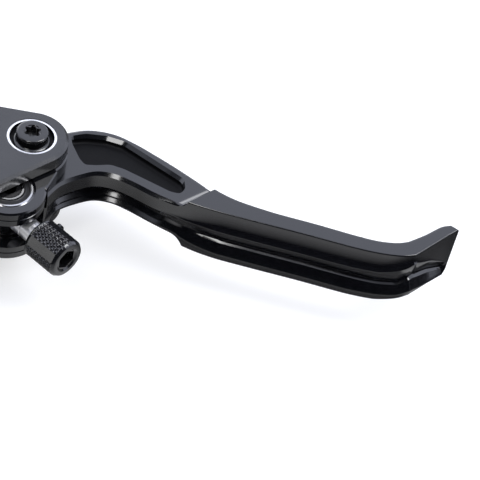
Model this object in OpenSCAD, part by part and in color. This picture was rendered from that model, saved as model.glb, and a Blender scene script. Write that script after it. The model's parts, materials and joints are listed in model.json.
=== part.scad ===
/* [Layout] */
// distance along the handlebar from the clamp centre to the lever pivot
pivot_x = 38; // [36:0.5:44]
// distance the lever pivot stands forward of the handlebar axis
pivot_y = 42; // [41:0.5:46]
// how far the pushrod barrel sits outboard of the pivot with the lever at rest
barrel_dx = 7.6; // [6.6:0.1:8.4]
// how far the pushrod barrel sits behind the pivot with the lever at rest
barrel_dy = 16.5; // [16:0.1:17.5]
// angle between the blade and the handlebar with the lever at rest
blade_angle = 31; // [29:0.5:33]
// circle segments for the large round faces
segments = 96; // [64:8:128]

/* [Lever] */
// half the height of the lever at the hub and along the blade
lever_half = 9.8; // [9.4:0.1:10.2]
// half the height of the arched arm between hub and blade
arm_half = 7; // [6.4:0.1:7.4]
// radius of the hub around the pivot
hub_radius = 11.5; // [10.5:0.25:12]
// radius of the fork ears around the pushrod barrel
ear_radius = 11.7; // [11:0.1:12.2]
// half the gap between the two fork ears
fork_half = 4.7; // [4.3:0.1:4.9]
// distance from the pivot to the tip along the blade
lever_length = 133.4; // [125:0.5:140]
// depth of each arm pocket
pocket_depth = 2.4; // [1.6:0.1:3]
// radius of the cutter that left the concave step at the arm's end
step_radius = 4.4; // [4.1:0.1:5]
// depth of the long finger groove in the blade
groove_depth = 1.3; // [0.9:0.1:1.6]
// depth of the channel along the bar side of the arm
channel_depth = 3; // [2.4:0.1:3.2]
// cross sections along the lever between two stations
steps_per_station = 3; // [2:1:4]

/* [Housing] */
// thickness of the upper ear plate
upper_plate = 5.5; // [4.5:0.25:6]
// thickness of the lower ear plate
lower_plate = 4.5; // [4:0.25:6]
// radius of both ear plates around the pivot
plate_radius = 11.4; // [11:0.1:12]
// handlebar diameter that the clamp is made for
bar_diameter = 22.2; // [22:0.1:22.4]
// length of the clamp along the handlebar
clamp_width = 24; // [20:1:26]
// wall around the handlebar bore
clamp_wall = 6; // [5:0.25:7]
// gap between the clamp halves on each side
clamp_gap = 1.4; // [1:0.1:2]
// outside radius of the cylinder barrel
cylinder_radius = 11.5; // [11:0.1:12]
// bore diameter of the hydraulic cylinder
cylinder_bore = 15; // [14:0.1:15.5]
// length of the piston
piston_length = 22.2; // [21.8:0.1:22.4]
// thread diameter of the hose port
port_thread = 10; // [8:1:10]
// depth of the hose port
port_depth = 12; // [10:0.5:13]

/* [Pivot] */
// thread diameter of the pivot screw
pivot_thread = 6; // [5:1:6]
// head diameter of the pivot screw
pivot_head = 10; // [9.5:0.1:10.5]
// head height of the pivot screw
pivot_head_height = 3.9; // [3.4:0.1:4.1]
// diameter of the recess around the screw head
recess_diameter = 14; // [13:0.1:14.4]
// depth of the recess around the screw head
recess_depth = 1.6; // [1.2:0.1:2.2]
// outside diameter of the sleeve the lever turns on
sleeve_diameter = 10; // [9:0.1:10.2]

/* [Pushrod] */
// outside diameter of the barrel bearings
bearing_outer = 16; // [15.5:0.1:16.4]
// bore diameter of the barrel bearings
bearing_bore = 8; // [7:0.1:8.2]
// diameter of the barrel between the fork ears
barrel_diameter = 13; // [12:0.1:13.6]
// diameter of the pushrod
rod_diameter = 7; // [6.4:0.1:7.2]
// diameter of the knob
knob_diameter = 13; // [12:0.1:13.4]
// length of the knob
knob_length = 12.8; // [11:0.1:14]
// distance from the barrel axis to the back of the knob
knob_start = 14.6; // [14.4:0.1:16]
// distance across the flats of the knob's hexagon socket
knob_hex = 6; // [5:0.5:6]
// smooth flats around the knob
flat_count = 4; // [4:1:6]
// knurling ridges in each band between two flats
band_ridges = 5; // [4:1:7]
// wire thickness of the return spring
spring_wire = 1.1; // [0.9:0.05:1.3]
// turns of the return spring
spring_turns = 7; // [6:1:8]

/* [Hidden] */
$fn = segments;
mating = 0.03;
running = 0.05;
side_play = 0.3;
hub_top = lever_half;
ear_in = hub_top + side_play;
upper_top = ear_in + upper_plate;
lower_bottom = -ear_in - lower_plate;
bar_radius = bar_diameter / 2;
clamp_radius = bar_radius + clamp_wall;
rod_y = pivot_y - barrel_dy;
barrel_x = pivot_x + barrel_dx;
cylinder_y = rod_y - 0.85;
mouth_x = pivot_x - 15.5;
cylinder_end = -34;
bolt_y = bar_radius + 4.6;
cylinder_r = cylinder_bore / 2;
seat_x = mouth_x - 3.2;
spigot_x = 0;
boss_top = clamp_radius + 0.9;
cup_bore = 0.56 * cylinder_r;
piston_waist = cylinder_r - 2.5;
piston_skirt = 4.2;
screw_shaft = upper_top - recess_depth - lower_bottom - 0.2;

// ---- lever blank -------------------------------------------------------

// stations from the hub to the tip: front x y, back x y, bottom, edge size,
// edge roundness, lip reach and height, channel share, groove share and height,
// lower lip reach and height, foot reach
stations = [
  [5, -6.5, 1, 10, -arm_half, 1.1, 0, 0, 1.7, 1, 0, -2.2, 1.2, -5, 1.2],
  [12.5, -7.2, 7, 13.8, -arm_half, 1.1, 0, 0, 1.7, 1, 0, -2.2, 1.2, -5, 1.2],
  [17, -3.4, 13.8, 17.8, -arm_half, 1.1, 0, 0, 1.7, 1, 0, -2.2, 1.2, -5, 1.2],
  [21.5, -0.2, 21.3, 19, -arm_half, 1.1, 0, 0, 1.7, 1, 0, -2.2, 1.2, -5, 1.2],
  [27, 0.5, 28, 17.7, -arm_half, 1.1, 0, 0, 1.7, 1, 0, -2.2, 1.2, -5, 1.2],
  [33, -0.7, 36, 14.8, -arm_half, 1.1, 0, 0, 1.7, 0.95, 0, -2.2, 1, -5, 1],
  [40.5, -3, 45.5, 10.8, -arm_half, 1.1, 0, 0, 1.7, 0.85, 0, -2.2, 0.8, -5, 0.8],
  [47, -4.2, 55.2, 6.1, -arm_half, 1, 0.3, -0.2, 2, 0.6, 0.15, -2.1, 0.2, -5.1, 0.2],
  [51.6, -5, 58.4, 3.8, -lever_half, 0.7, 0.8, -0.6, 2.4, 0.45, 0.35, -2, -0.8, -5.3, -0.3],
  [57, -5.5, 62, 2.5, -lever_half, 0.5, 1, -1.2, 2.9, 0.25, 0.7, -1.8, -1.7, -5.6, -0.8],
  [64, -5.8, 67.5, 1.3, -lever_half, 0.5, 1, -1.75, 3.2, 0, 1, -1.5, -2.4, -5.8, -1.2],
  [76, -5.85, 78, 0.4, -lever_half, 0.5, 1, -1.75, 3.2, 0, 1, -1.5, -2.4, -5.8, -1.2],
  [90, -5.85, 91, 0.2, -lever_half, 0.5, 1, -1.75, 3.2, 0, 1, -1.5, -2.4, -5.8, -1.2],
  [104, -6.1, 103.5, -0.3, -lever_half, 0.5, 1, -1.75, 3.3, 0, 1, -1.6, -2.4, -5.8, -1.2],
  [112.5, -5.7, 110.5, -0.2, -9.6, 0.5, 1, -1.75, 3.6, 0, 1, -1.9, -2.3, -5.6, -1.2],
  [118.6, -4.6, 115.5, 0.8, -8.6, 0.5, 1, -1.6, 4, 0, 0.9, -2, -2, -5.2, -1],
  [122.2, -3.1, 118.6, 2.2, -7.6, 0.5, 1, -1, 5.6, 0, 0.7, -1, -1.2, -4.6, -0.6],
  [123.6, -1.7, 120.4, 3.7, -7.2, 0.5, 1, -0.6, 6.3, 0, 0.8, -0.8, -0.7, -4.4, -0.3],
  [127.4, 4, 124, 7.6, -7.1, 0.5, 1, -0.2, 3.4, 0, 0.65, -2.6, -0.1, -5.3, 0],
  [131, 9.4, 127.6, 12.2, -6.9, 0.5, 1, 0, -1.4, 0, 0.4, -4.2, 0, -5.6, 0],
  [133.4, 12.6, 130.2, 13.9, -5.8, 0.5, 1, 0, -2.6, 0, 0.25, -3.6, 0, -4.6, 0]
];

function between(a, b, c, d, t) =
  0.5 * (2 * b + (c - a) * t + (2 * a - 5 * b + 4 * c - d) * t * t
  + (3 * b - a - 3 * c + d) * t * t * t);

last_station = len(stations) - 1;
station_of_step = 7;

function smooth_at(i, t, k) = between(
  stations[max(i - 1, 0)][k], stations[i][k],
  stations[min(i + 1, last_station)][k], stations[min(i + 2, last_station)][k], t);

function straight_at(i, t, k) =
  stations[i][k] * (1 - t) + stations[min(i + 1, last_station)][k] * t;

// the blade grows or shrinks beyond the step only
function stretched(x) = x < 60 ? x : 60 + (x - 60) * (lever_length - 60) / 73.4;

// height along the concave step that the round cutter leaves
function step_height(t) =
  let (rise = lever_half - arm_half,
       run = sqrt(pow(step_radius, 2) - pow(step_radius - rise, 2)))
  arm_half + step_radius - sqrt(pow(step_radius, 2) - pow(t * run, 2));

function top_at(i, t) =
  i < station_of_step ? arm_half
  : i == station_of_step ? step_height(t)
  : i == last_station ? lever_half - 0.4 : lever_half;

function bottom_at(i, t) =
  i == station_of_step ? -step_height(t) : straight_at(i, t, 4);

function curve(a, b, c, t) = a * (1 - t) * (1 - t) + b * 2 * t * (1 - t) + c * t * t;

// front corner, flat at roundness 0 and round at roundness 1
function corner(edge, soft, a) =
  let (s = a / 90)
  [edge * ((1 - s) * (1 - soft) + (1 - sin(a)) * soft),
   edge * (s * (1 - soft) + (1 - cos(a)) * soft)];

// one cross section: distance behind the front line and height of each corner
function section(w, top, bottom, edge, soft, lip, lip_z, cs, gs, deep_z, low, low_z, foot) =
  let (back_r = 1.8,
       deep = lip + channel_depth * cs + groove_depth * gs,
       a = [0, top - edge], b = [lip, lip_z], c = [lip - 0.1, lip_z - 0.5],
       d = [deep, deep_z], e = [low, low_z], f = [low - 0.1, low_z - 0.4],
       g = [foot, bottom + edge])
  concat(
    [[w, top - back_r], [w - 0.3 * back_r, top - 0.3 * back_r], [w - back_r, top]],
    [for (t = [0, 45, 90]) [corner(edge, soft, t)[0], top - corner(edge, soft, t)[1]]],
    [for (t = [0.3, 0.55, 0.8, 1]) curve(a, [0, lip_z - 1.04 * lip], b, t)],
    [b - [0.15, 0.2], c],
    [for (t = [0.35, 0.7, 1]) curve(c, [deep, deep_z + 0.75], d, t)],
    [for (t = [0.2, 0.45, 0.7, 1]) curve(d, [deep, deep_z - 0.7], e, t)],
    [e - [0.12, 0.2], f],
    [for (t = [0.25, 0.5, 0.75]) curve(f, [foot, low_z - 0.4 + 1.04 * min(0, low - foot)], g, t)],
    [for (t = [90, 45, 0]) [foot + corner(edge, soft, t)[0], bottom + corner(edge, soft, t)[1]]],
    [[w - back_r, bottom], [w - 0.3 * back_r, bottom + 0.3 * back_r],
     [w, bottom + back_r]]);

function placed_section(i, t) =
  let (front = [stretched(smooth_at(i, t, 0)), smooth_at(i, t, 1)],
       back = [stretched(smooth_at(i, t, 2)), smooth_at(i, t, 3)],
       w = norm(back - front),
       along = (back - front) / w,
       v = [for (k = [5:14]) straight_at(i, t, k)])
  [for (p = section(w, top_at(i, t), bottom_at(i, t), v[0], v[1], v[2], v[3], v[4], v[5],
      v[6], v[7], v[8], v[9]))
    [front[0] + along[0] * p[0], front[1] + along[1] * p[0], p[1]]];

function step_fractions(i) = i == station_of_step
  ? [0, 0.2, 0.4, 0.6, 0.75, 0.88, 0.96]
  : [for (s = [0:steps_per_station - 1]) s / steps_per_station];

module arm_and_blade() {
  rings = concat(
    [for (i = [0:last_station - 1]) for (t = step_fractions(i)) placed_section(i, t)],
    [placed_section(last_station, 0)]);
  n = len(rings[0]);
  m = len(rings);
  points = [for (ring = rings) for (p = ring) p];
  sides = [for (r = [0:m - 2]) for (k = [0:n - 1]) for (half = [0, 1])
    half == 0
      ? [r * n + k, (r + 1) * n + k, r * n + (k + 1) % n]
      : [r * n + (k + 1) % n, (r + 1) * n + k, (r + 1) * n + (k + 1) % n]];
  caps = [[for (k = [0:n - 1]) k], [for (k = [n - 1:-1:0]) (m - 1) * n + k]];
  polyhedron(points = points, faces = concat(sides, caps), convexity = 12);
}

module in_lever_frame() {
  translate([pivot_x, pivot_y, 0]) rotate([0, 0, blade_angle]) children();
}

module at_pivot() {
  translate([pivot_x, pivot_y, 0]) children();
}

module at_barrel() {
  translate([barrel_x, rod_y, 0]) children();
}

module along_x() {
  rotate([0, 90, 0]) children();
}

// smooth closed outline through a few corner points
function rounded_outline(pts, cut) = let (n = len(pts)) [
  for (i = [0:n - 1]) let (a = pts[(i + n - 1) % n], b = pts[i], c = pts[(i + 1) % n],
    p = b + (a - b) / norm(a - b) * cut, q = b + (c - b) / norm(c - b) * cut)
    for (t = [0:0.25:1]) p * (1 - t) * (1 - t) + b * 2 * t * (1 - t) + q * t * t];

module arm_pocket() {
  linear_extrude(height = 2 * pocket_depth, center = true)
    polygon(rounded_outline([
      [10.6, 9], [10.6, 12.6], [14, 15.2], [20, 16.4], [25.5, 14.6], [33, 11.1], [42, 7.6],
      [47, 5.8], [49, 3], [48, 0.4], [45, 0.2], [36.6, 2.6], [29, 4.7], [24.5, 5.1],
      [20, 3.6], [16.6, 2.4], [14, 3.8]], 1.1));
}

module hub_blank() {
  bx = barrel_dx * cos(blade_angle) - barrel_dy * sin(blade_angle);
  by = -barrel_dx * sin(blade_angle) - barrel_dy * cos(blade_angle);
  translate([0, 0, -hub_top]) linear_extrude(height = 2 * hub_top) union() {
    circle(r = hub_radius);
    translate([bx, by]) circle(r = ear_radius);
    polygon([[-9.6, -5], [bx - 11.2, by + 4], [bx + 11.2, by + 3.4], [10.4, -6.4], [6, 3], [-6, 3]]);
  }
}

module lever() {
  color("dimgray") difference() {
    union() {
      in_lever_frame() arm_and_blade();
      in_lever_frame() hub_blank();
    }
    at_pivot() translate([0, 0, -20]) cylinder(r = 6, h = 40);
    for (s = [0, 1]) mirror([0, 0, s]) {
      at_pivot() translate([0, 0, hub_top - 1]) cylinder(r = 8.6, h = 4);
      at_barrel() translate([0, 0, fork_half - 1]) cylinder(d = bearing_outer, h = 12);
      at_barrel() translate([0, 0, hub_top - 0.5])
        cylinder(r1 = bearing_outer / 2, r2 = bearing_outer / 2 + 0.7, h = 0.7);
      in_lever_frame() translate([0, 0, arm_half]) arm_pocket();
    }
    at_barrel() translate([0, 0, -fork_half]) cylinder(r = 9.4, h = 2 * fork_half);
    for (a = [0, 8, 16, 24]) at_barrel() rotate([0, 0, a])
      translate([-16, -20, -fork_half]) cube([32, 24.6, 2 * fork_half]);
  }
}

// ---- housing -----------------------------------------------------------

module plate_outline() {
  union() {
    translate([pivot_x, pivot_y]) circle(r = plate_radius);
    polygon([[pivot_x + 11.2, pivot_y - 2], [pivot_x + 8.4, pivot_y - 22.4],
      [pivot_x + 7, pivot_y - 26], [pivot_x + 4, pivot_y - 28.6], [pivot_x, pivot_y - 29.4],
      [pivot_x - 30, pivot_y - 29.4], [pivot_x - 30, pivot_y - 6],
      [pivot_x - 16, pivot_y + 2], [pivot_x - 5.8, pivot_y + 9.8]]);
  }
}

module housing() {
  color("dimgray") difference() {
    union() {
      translate([0, 0, ear_in]) linear_extrude(height = upper_plate) plate_outline();
      translate([0, 0, lower_bottom]) linear_extrude(height = lower_plate) plate_outline();
      translate([pivot_x - 30, pivot_y - 29.4, -ear_in])
        cube([15, 24.9, 2 * ear_in]);
      translate([cylinder_end, cylinder_y, 0]) along_x()
        cylinder(r = cylinder_radius, h = mouth_x - cylinder_end);
      translate([-clamp_width / 2, 0, 0]) along_x() cylinder(r = clamp_radius, h = clamp_width);
      translate([-clamp_width / 2, clamp_gap / 2, -bolt_y - 6])
        cube([clamp_width, 12, 2 * bolt_y + 12]);
      translate([spigot_x, cylinder_y, 0]) cylinder(d = 14.6, h = boss_top);
    }
    translate([-40, -40, -40]) cube([100, 40 + clamp_gap / 2, 80]);
    translate([-40, 0, 0]) along_x() cylinder(r = bar_radius, h = 100);
    at_pivot() translate([0, 0, -30]) cylinder(d = pivot_thread + 0.1, h = 60);
    at_pivot() translate([0, 0, upper_top - recess_depth]) cylinder(d = recess_diameter, h = 5);
    at_pivot() translate([0, 0, upper_top - 1]) cylinder(d1 = recess_diameter, d2 = recess_diameter + 2, h = 1.01);
    at_pivot() translate([0, 0, lower_bottom - 1]) cylinder(d = 10 / cos(30) + 0.1, h = 4.2, $fn = 6);
    translate([seat_x, cylinder_y, 0]) along_x() cylinder(r = cylinder_r + 1.6, h = 30);
    translate([cylinder_end + 14, cylinder_y, 0]) along_x() cylinder(r = cylinder_r, h = 100);
    translate([cylinder_end - 1, cylinder_y, 0]) along_x() cylinder(d = port_thread - 1, h = port_depth + 1);
    translate([cylinder_end - 1, cylinder_y, 0]) along_x() cylinder(d = 3, h = 20);
    translate([spigot_x, cylinder_y, boss_top - 9.6]) cylinder(d = 10, h = 12);
    translate([spigot_x, cylinder_y, 0]) cylinder(d = 2, h = 12);
    for (s = [-1, 1]) translate([0, 0, s * bolt_y]) {
      rotate([-90, 0, 0]) translate([0, 0, -1]) cylinder(d = 5.1, h = 11);
    }
  }
}

module clamp_cap() {
  color("dimgray") difference() {
    union() {
      translate([-clamp_width / 2, 0, 0]) along_x() cylinder(r = clamp_radius, h = clamp_width);
      translate([-clamp_width / 2, -9, -bolt_y - 6]) cube([clamp_width, 9, 2 * bolt_y + 12]);
    }
    translate([-40, -clamp_gap / 2, -40]) cube([100, 60, 80]);
    translate([-40, 0, 0]) along_x() cylinder(r = bar_radius, h = 100);
    for (s = [-1, 1]) translate([0, 0, s * bolt_y]) {
      rotate([90, 0, 0]) translate([0, 0, -5]) cylinder(d = 6.3, h = 30);
      rotate([90, 0, 0]) translate([0, 0, 6]) cylinder(d = 11, h = 20);
    }
  }
}

module clamp_bolts() {
  color("silver") for (s = [-1, 1]) translate([0, -6, s * bolt_y]) rotate([-90, 0, 0]) difference() {
    union() {
      translate([0, 0, -6]) cylinder(d = 10, h = 6);
      cylinder(d = 6, h = 6.4);
      translate([0, 0, 6.4]) cylinder(d = 5, h = 9);
    }
    translate([0, 0, -7]) cylinder(d = 5 / cos(30), h = 4, $fn = 6);
  }
}

// ---- pivot -------------------------------------------------------------

module pivot_screw() {
  color("black") at_pivot() translate([0, 0, upper_top - recess_depth]) difference() {
    union() {
      cylinder(d = pivot_head, h = pivot_head_height - 0.6);
      translate([0, 0, pivot_head_height - 0.6])
        cylinder(d1 = pivot_head, d2 = pivot_head - 1.2, h = 0.6);
      translate([0, 0, -screw_shaft]) cylinder(d = pivot_thread - 0.1, h = screw_shaft + 0.5);
    }
    translate([0, 0, pivot_head_height - 2.2]) linear_extrude(height = 4) union() {
      circle(d = 4.1);
      for (a = [0:60:300]) rotate(a) translate([1.85, 0]) circle(r = 0.85, $fn = 24);
    }
  }
}

module pivot_sleeve() {
  color("silver") at_pivot() translate([0, 0, -ear_in]) difference() {
    cylinder(d = sleeve_diameter, h = 2 * ear_in);
    translate([0, 0, -1]) cylinder(d = pivot_thread + 0.1, h = 2 * ear_in + 2);
  }
}

module pivot_nut() {
  color("silver") at_pivot() translate([0, 0, lower_bottom]) difference() {
    cylinder(d = 10 / cos(30), h = 3.2, $fn = 6);
    translate([0, 0, -1]) cylinder(d = pivot_thread, h = 6);
  }
}

module pivot_bush() {
  color("goldenrod") at_pivot() difference() {
    union() {
      translate([0, 0, 1]) cylinder(r = 6 - mating, h = hub_top - 1);
      translate([0, 0, hub_top - 1]) cylinder(r = 8.4, h = 1.2);
    }
    cylinder(d = sleeve_diameter + 2 * running, h = 20);
  }
}

module pivot_bush_upper() {
  pivot_bush();
}

module pivot_bush_lower() {
  mirror([0, 0, 1]) pivot_bush();
}

// ---- barrel bearings ---------------------------------------------------

race_low = fork_half + 0.3;
race_high = hub_top - 0.3;
race_wall = 1.2;

module tube(outer, inner, low, high) {
  translate([0, 0, low]) difference() {
    cylinder(r = outer, h = high - low);
    translate([0, 0, -1]) cylinder(r = inner, h = high - low + 2);
  }
}

module bearing_outer_race() {
  color("silver") at_barrel()
    tube(bearing_outer / 2 - mating, bearing_outer / 2 - race_wall, race_low, race_high);
}

module bearing_seal() {
  color("black") at_barrel()
    tube(bearing_outer / 2 - race_wall - mating, bearing_bore / 2 + race_wall + 0.1,
      race_low + 0.3, race_high - 0.2);
}

module bearing_inner_race() {
  color("silver") at_barrel()
    tube(bearing_bore / 2 + race_wall - 0.3, bearing_bore / 2, race_low, race_high);
}

module bearing_outer_upper() {
  bearing_outer_race();
}

module bearing_outer_lower() {
  mirror([0, 0, 1]) bearing_outer_race();
}

module bearing_seal_upper() {
  bearing_seal();
}

module bearing_seal_lower() {
  mirror([0, 0, 1]) bearing_seal();
}

module bearing_inner_upper() {
  bearing_inner_race();
}

module bearing_inner_lower() {
  mirror([0, 0, 1]) bearing_inner_race();
}

// ---- barrel, pushrod and knob -----------------------------------------

module barrel() {
  color("black") at_barrel() difference() {
    union() {
      translate([0, 0, -fork_half + 0.15]) cylinder(d = barrel_diameter, h = 2 * fork_half - 0.3);
      translate([0, 0, -race_low]) cylinder(d = bearing_bore + 1.2, h = 2 * race_low);
      translate([0, 0, -race_high]) cylinder(r = bearing_bore / 2 - mating, h = 2 * race_high);
    }
    for (s = [0, 1]) mirror([0, 0, s]) translate([0, 0, race_high - 3]) cylinder(d = 5, h = 4);
    translate([-20, 0, 0]) along_x() cylinder(d = rod_diameter + 2 * mating, h = 40);
  }
}

rod_tip = seat_x + 0.7;
knob_x = barrel_x + knob_start;

module pushrod() {
  color("silver") translate([rod_tip, rod_y, 0]) difference() {
    union() {
      translate([5, 0, 0]) along_x() cylinder(d = rod_diameter, h = knob_x - rod_tip - 5);
      translate([2.5, 0, 0]) along_x() cylinder(d = 4.4, h = 3);
      translate([knob_x - rod_tip, 0, 0]) along_x() cylinder(d = 5, h = 6);
      translate([2.5, 0, 0]) sphere(d = 5);
    }
  }
}

// outline of the knurled length: bands of ridges between smooth flats
function knurl_outline() = let (
  tip = knob_diameter / 2 - 0.05,
  valley = tip - 0.35,
  half_flat = acos((tip - 0.25) / tip),
  band = 360 / flat_count - 2 * half_flat)
  [for (f = [0:flat_count - 1]) for (i = [0:2 * band_ridges])
    let (a = f * 360 / flat_count + half_flat + band * i / (2 * band_ridges),
         r = i % 2 == 0 ? tip : valley)
      [r * cos(a), r * sin(a)]];

module knob() {
  color("black") translate([knob_x, rod_y, 0]) difference() {
    along_x() union() {
      cylinder(d = knob_diameter, h = 2.5);
      translate([0, 0, 2.4]) linear_extrude(height = knob_length - 3.2)
        rotate(60) polygon(knurl_outline());
      translate([0, 0, knob_length - 1])
        cylinder(d1 = knob_diameter - 1, d2 = knob_diameter - 2, h = 1);
    }
    translate([-1, 0, 0]) along_x() cylinder(d = 5 + 2 * mating, h = 7.1);
    translate([knob_length - 5.4, 0, 0]) along_x() cylinder(d = knob_hex / cos(30), h = 8, $fn = 6);
    translate([4.4, 0, 0]) cylinder(d = 3, h = 12);
  }
}

module knob_grub_screw() {
  color("black") translate([knob_x + 4.4, rod_y, 0]) difference() {
    translate([0, 0, 2.6]) cylinder(d = 2.9, h = 3);
    translate([0, 0, 4.6]) cylinder(d = 1.5 / cos(30), h = 2, $fn = 6);
  }
}

// ---- cylinder parts ----------------------------------------------------

module on_cylinder(x) {
  translate([x, cylinder_y, 0]) along_x() children();
}

cup_floor = rod_tip - 0.3;
piston_back = cup_floor + 3.2;
piston_nose = piston_back - piston_length;

module piston() {
  color("goldenrod") difference() {
    union() {
      on_cylinder(piston_nose) cylinder(r = cup_bore, h = 3.2);
      on_cylinder(piston_nose + 3) cylinder(r = cylinder_r - running, h = 2.4);
      on_cylinder(piston_nose + 5) cylinder(r = piston_waist, h = piston_length - 13.2);
      on_cylinder(piston_back - 8.8) cylinder(r = cylinder_r - running, h = 4.9);
      on_cylinder(piston_back - piston_skirt) cylinder(r = piston_waist + 0.2, h = piston_skirt);
    }
    on_cylinder(cup_floor) cylinder(r1 = 3.7, r2 = 4.3, h = 3.3);
    on_cylinder(piston_back - 7.4) tube(12, 6, 0, 2.2);
  }
}

module primary_cup() {
  color("black") on_cylinder(piston_nose + 0.6)
    tube(cylinder_r - 0.02, cup_bore + mating, 0, 2.3);
}

module secondary_seal() {
  color("black") on_cylinder(piston_back - 7.3) tube(cylinder_r - 0.02, 6 + mating, 0, 2);
}

module stop_washer() {
  color("silver") on_cylinder(seat_x + mating) tube(cylinder_r + 1.5, piston_waist + 0.5, 0, 0.9);
}

module retaining_ring() {
  color("silver") on_cylinder(seat_x + 1) difference() {
    tube(cylinder_r + 1.55, cylinder_r - 0.6, 0, 0.9);
    translate([0, 7, 0.5]) cube([4, 6, 4], center = true);
  }
}

// coil with closed end turns, wound as a chain of rings of points
module return_spring() {
  low = cylinder_end + 14 + spring_wire / 2 + 0.3;
  high = piston_nose + 0.6 - spring_wire / 2 - 0.3;
  per_turn = 20;
  around = 8;
  n = spring_turns * per_turn;
  coil = cylinder_r - spring_wire / 2 - 0.9;
  function advance(i) = let (u = i / per_turn, body = spring_turns - 2)
    u < 1 ? 0.12 * u : u > spring_turns - 1 ? 1 - 0.12 * (spring_turns - u)
    : 0.12 + 0.76 * (u - 1) / body;
  points = [for (i = [0:n]) let (a = 360 * i / per_turn, x = low + (high - low) * advance(i))
    for (k = [0:around - 1]) let (b = 360 * k / around,
      r = coil + spring_wire / 2 * cos(b))
      [x + spring_wire / 2 * sin(b), cylinder_y + r * cos(a), r * sin(a)]];
  sides = [for (i = [0:n - 1]) for (k = [0:around - 1]) for (half = [0, 1])
    half == 0
      ? [i * around + k, (i + 1) * around + k, i * around + (k + 1) % around]
      : [i * around + (k + 1) % around, (i + 1) * around + k, (i + 1) * around + (k + 1) % around]];
  caps = [[for (k = [0:around - 1]) k], [for (k = [around - 1:-1:0]) n * around + k]];
  color("silver") polyhedron(points = points, faces = concat(sides, caps), convexity = 10);
}

module dust_seal() {
  color("black") on_cylinder(seat_x + 2) difference() {
    union() {
      cylinder(r = cylinder_r + 1.5, h = 1.6);
      translate([0, 0, 1.5]) cylinder(r1 = 7.6, r2 = 5.8, h = 1.5);
    }
    translate([0, 0, -1]) cylinder(r = 5.9, h = 2.7);
    translate([0, 0, -1]) cylinder(r = 4.9, h = 7);
  }
}

module reservoir_spigot() {
  color("dimgray") translate([spigot_x, cylinder_y, boss_top]) difference() {
    union() {
      translate([0, 0, -9.4]) cylinder(d = 9.94, h = 8);
      translate([0, 0, 0.05]) cylinder(d = 12, h = 2);
      translate([0, 0, -1.6]) cylinder(d = 7, h = 14);
      for (z = [6, 9.5]) translate([0, 0, z]) cylinder(d1 = 8, d2 = 6.8, h = 2);
    }
    translate([0, 0, -13]) cylinder(d = 4, h = 40);
    translate([0, 0, -7]) tube(8, 3.9, 0, 1.9);
  }
}

module spigot_o_ring() {
  color("black") translate([spigot_x, cylinder_y, boss_top - 6.05]) rotate_extrude()
    translate([4.05 + 0.42, 0]) circle(d = 0.84, $fn = 24);
}

module spigot_clip() {
  color("silver") translate([spigot_x, cylinder_y, boss_top - 1.3]) tube(4.9, 3.6, 0, 0.9);
}

housing();
clamp_cap();
clamp_bolts();
pivot_screw();
pivot_sleeve();
pivot_nut();
pivot_bush_upper();
pivot_bush_lower();
lever();
bearing_outer_upper();
bearing_outer_lower();
bearing_seal_upper();
bearing_seal_lower();
bearing_inner_upper();
bearing_inner_lower();
barrel();
pushrod();
knob();
knob_grub_screw();
piston();
primary_cup();
secondary_seal();
stop_washer();
retaining_ring();
return_spring();
dust_seal();
reservoir_spigot();
spigot_o_ring();
spigot_clip();
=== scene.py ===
import json
import math

import bmesh
import bpy
from mathutils import Matrix, Vector


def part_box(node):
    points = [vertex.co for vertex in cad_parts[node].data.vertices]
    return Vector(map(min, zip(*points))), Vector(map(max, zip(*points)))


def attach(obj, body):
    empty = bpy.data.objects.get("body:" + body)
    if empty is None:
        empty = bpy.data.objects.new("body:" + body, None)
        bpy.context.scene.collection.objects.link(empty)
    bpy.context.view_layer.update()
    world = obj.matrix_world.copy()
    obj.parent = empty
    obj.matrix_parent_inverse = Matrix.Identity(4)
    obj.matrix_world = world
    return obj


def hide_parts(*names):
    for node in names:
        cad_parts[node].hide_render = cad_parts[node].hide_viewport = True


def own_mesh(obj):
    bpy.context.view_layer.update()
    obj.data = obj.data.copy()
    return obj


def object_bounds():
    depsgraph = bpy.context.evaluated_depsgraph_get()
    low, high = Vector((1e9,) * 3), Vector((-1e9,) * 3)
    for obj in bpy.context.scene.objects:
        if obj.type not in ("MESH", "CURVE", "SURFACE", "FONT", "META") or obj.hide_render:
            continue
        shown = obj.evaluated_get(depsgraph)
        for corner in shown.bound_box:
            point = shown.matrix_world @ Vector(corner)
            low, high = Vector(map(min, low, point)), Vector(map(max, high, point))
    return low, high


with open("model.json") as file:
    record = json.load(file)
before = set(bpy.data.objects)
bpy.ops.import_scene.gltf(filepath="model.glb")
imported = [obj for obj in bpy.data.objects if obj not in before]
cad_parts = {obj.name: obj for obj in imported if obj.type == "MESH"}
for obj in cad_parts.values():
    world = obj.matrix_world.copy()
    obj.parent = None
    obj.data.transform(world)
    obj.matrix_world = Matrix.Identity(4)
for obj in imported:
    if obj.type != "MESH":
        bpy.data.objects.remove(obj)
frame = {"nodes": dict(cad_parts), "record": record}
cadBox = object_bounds()
nodes = frame["nodes"]
mm = 0.001
print("clutch lever: frame loaded,", len(nodes), "nodes")

# the pivot and barrel axes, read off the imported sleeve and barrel
pivotLow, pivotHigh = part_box("pivot_sleeve")
barrelLow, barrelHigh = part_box("barrel")
pivotAt = (pivotLow + pivotHigh) / 2
barrelAt = (barrelLow + barrelHigh) / 2
px, py = (c / mm for c in pivotAt[:2])
ex, ey = (c / mm for c in barrelAt[:2])


# camera, table and lights
view = {
    "azimuth": 37.41,  # degrees, where the camera stands
    "elevation": 45.55,
    "roll": 9.87,
    "distance": 1.1766,  # metres from the aim point
    "aim": (0.1003, 0.0729, 0.0),
    "lens": 287.47,
}


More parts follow.
